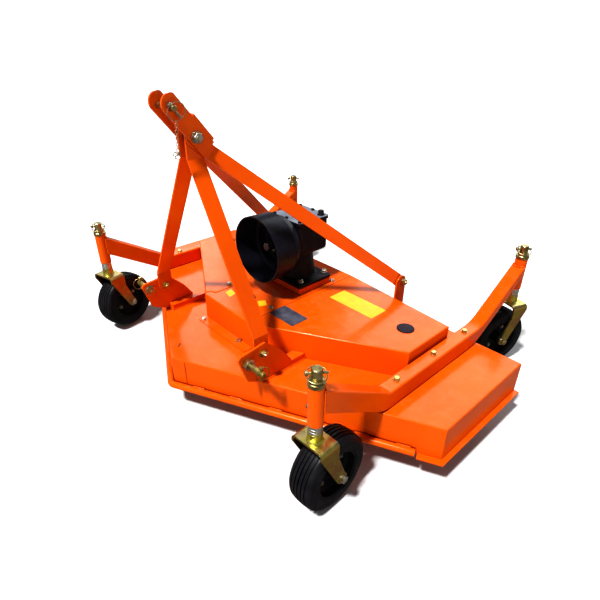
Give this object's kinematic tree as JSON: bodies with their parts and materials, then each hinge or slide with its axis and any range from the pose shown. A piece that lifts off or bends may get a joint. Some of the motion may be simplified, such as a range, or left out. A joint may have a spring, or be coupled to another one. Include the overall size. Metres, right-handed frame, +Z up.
{
  "type": "three-point-hitch finishing mower",
  "caption": "Tractor-mounted finishing mower: pointed sheet deck with belt cover, gearbox and shielded shaft, A-frame hitch, side rails and swivelling caster wheels.",
  "frame": {"origin": "on the ground, midway between the sides and between the front of the skid bar and the back of the rear caster forks", "axes": "+Z up, -Y forward towards the tractor, +X to the mower's right seen from behind with the tractor ahead on -Y"},
  "size_m": [1.868, 1.3617, 1.1488],
  "materials": {
    "orange_paint": "gloss powder coat",
    "yellow_zinc": "yellow-passivated zinc plate",
    "cast_black": "satin black paint on cast iron",
    "grey_lid": "satin grey-black",
    "black_plastic": "moulded, satin",
    "machined_steel": "turned, lightly oiled",
    "blade_steel": "black with ground edges",
    "tyre_rubber": "moulded rubber",
    "rim_black": "semi-gloss black"
  },
  "bodies": {
    "deck": {"deck_plate": "orange_paint", "rear_skirt": "orange_paint", "skid_bar": "orange_paint", "belt_cover_centre": "orange_paint", "access_caps": "black_plastic", "caster_posts": "orange_paint", "brace_lugs": "orange_paint", "apex_bolt": "yellow_zinc", "gearbox_pedestal": "orange_paint", "gearbox_housing": "cast_black", "gearbox_lid": "grey_lid", "pto_shield": "black_plastic", "spindle_housings": "cast_black", "front_skirt_left": "orange_paint", "front_skirt_right": "orange_paint", "side_skirt_left": "orange_paint", "side_skirt_right": "orange_paint", "belt_cover_left": "orange_paint", "belt_cover_right": "orange_paint", "side_rail_left": "orange_paint", "side_rail_right": "orange_paint", "hitch_bracket_left": "orange_paint", "hitch_bracket_right": "orange_paint", "hitch_pin_left": "yellow_zinc", "hitch_pin_right": "yellow_zinc", "a_frame_leg_left": "orange_paint", "a_frame_leg_right": "orange_paint", "brace_left": "orange_paint", "brace_right": "orange_paint"},
    "top_link": {"top_link_clevis": "orange_paint", "top_link_pin": "yellow_zinc"},
    "pto": {"pto_shaft": "machined_steel"},
    "caster_front_left": {"caster_fork_front_left": "yellow_zinc", "caster_rings_front_left": "yellow_zinc"},
    "wheel_front_left": {"tyre_front_left": "tyre_rubber", "rim_front_left": "rim_black"},
    "caster_front_right": {"caster_fork_front_right": "yellow_zinc", "caster_rings_front_right": "yellow_zinc"},
    "wheel_front_right": {"tyre_front_right": "tyre_rubber", "rim_front_right": "rim_black"},
    "caster_rear_left": {"caster_fork_rear_left": "yellow_zinc", "caster_rings_rear_left": "yellow_zinc"},
    "wheel_rear_left": {"tyre_rear_left": "tyre_rubber", "rim_rear_left": "rim_black"},
    "caster_rear_right": {"caster_fork_rear_right": "yellow_zinc", "caster_rings_rear_right": "yellow_zinc"},
    "wheel_rear_right": {"tyre_rear_right": "tyre_rubber", "rim_rear_right": "rim_black"},
    "rotor_centre": {"blade_hub_centre": "machined_steel", "blade_centre": "blade_steel"},
    "rotor_left": {"blade_hub_left": "machined_steel", "blade_left": "blade_steel"},
    "rotor_right": {"blade_hub_right": "machined_steel", "blade_right": "blade_steel"}
  },
  "joints": [
    {"name": "swivel_front_left", "type": "hinge", "parent": "deck", "child": "caster_front_left", "pos_m": [-0.706, -0.58217, 0.42], "axis": [0, 0, 1], "continuous": true},
    {"name": "wheel_spin_front_left", "type": "hinge", "parent": "caster_front_left", "child": "wheel_front_left", "pos_m": [-0.72153, -0.52421, 0.133], "axis": [-0.9659, -0.2588, 0], "continuous": true},
    {"name": "swivel_front_right", "type": "hinge", "parent": "deck", "child": "caster_front_right", "pos_m": [0.706, -0.58217, 0.42], "axis": [0, 0, 1], "continuous": true},
    {"name": "wheel_spin_front_right", "type": "hinge", "parent": "caster_front_right", "child": "wheel_front_right", "pos_m": [0.70391, -0.52221, 0.133], "axis": [-0.9994, -0.0349, 0], "continuous": true},
    {"name": "swivel_rear_left", "type": "hinge", "parent": "deck", "child": "caster_rear_left", "pos_m": [-0.706, 0.60375, 0.42], "axis": [0, 0, 1], "continuous": true},
    {"name": "wheel_spin_rear_left", "type": "hinge", "parent": "caster_rear_left", "child": "wheel_rear_left", "pos_m": [-0.69353, 0.54506, 0.133], "axis": [0.9781, 0.2079, 0], "continuous": true},
    {"name": "swivel_rear_right", "type": "hinge", "parent": "deck", "child": "caster_rear_right", "pos_m": [0.706, 0.60375, 0.42], "axis": [0, 0, 1], "continuous": true},
    {"name": "wheel_spin_rear_right", "type": "hinge", "parent": "caster_rear_right", "child": "wheel_rear_right", "pos_m": [0.68548, 0.54737, 0.133], "axis": [0.9397, -0.342, 0], "continuous": true},
    {"name": "blade_spin_centre", "type": "hinge", "parent": "deck", "child": "rotor_centre", "pos_m": [0, -0.20289, 0.12], "axis": [0, 0, 1], "continuous": true},
    {"name": "blade_spin_left", "type": "hinge", "parent": "deck", "child": "rotor_left", "pos_m": [-0.571, -0.02289, 0.12], "axis": [0, 0, 1], "continuous": true},
    {"name": "blade_spin_right", "type": "hinge", "parent": "deck", "child": "rotor_right", "pos_m": [0.571, -0.02289, 0.12], "axis": [0, 0, 1], "continuous": true},
    {"name": "pto_spin", "type": "hinge", "parent": "deck", "child": "pto", "pos_m": [0, -0.12289, 0.544], "axis": [0, 1, 0], "continuous": true},
    {"name": "top_link_swing", "type": "hinge", "parent": "deck", "child": "top_link", "pos_m": [0, -0.47372, 1.014], "axis": [1, 0, 0], "range_deg": [0, 60]}
  ],
  "couplings": [
    {"joint": "blade_spin_left", "follows": "blade_spin_centre", "ratio": 1},
    {"joint": "blade_spin_right", "follows": "blade_spin_centre", "ratio": 1},
    {"joint": "pto_spin", "follows": "blade_spin_centre", "ratio": 0.2}
  ]
}
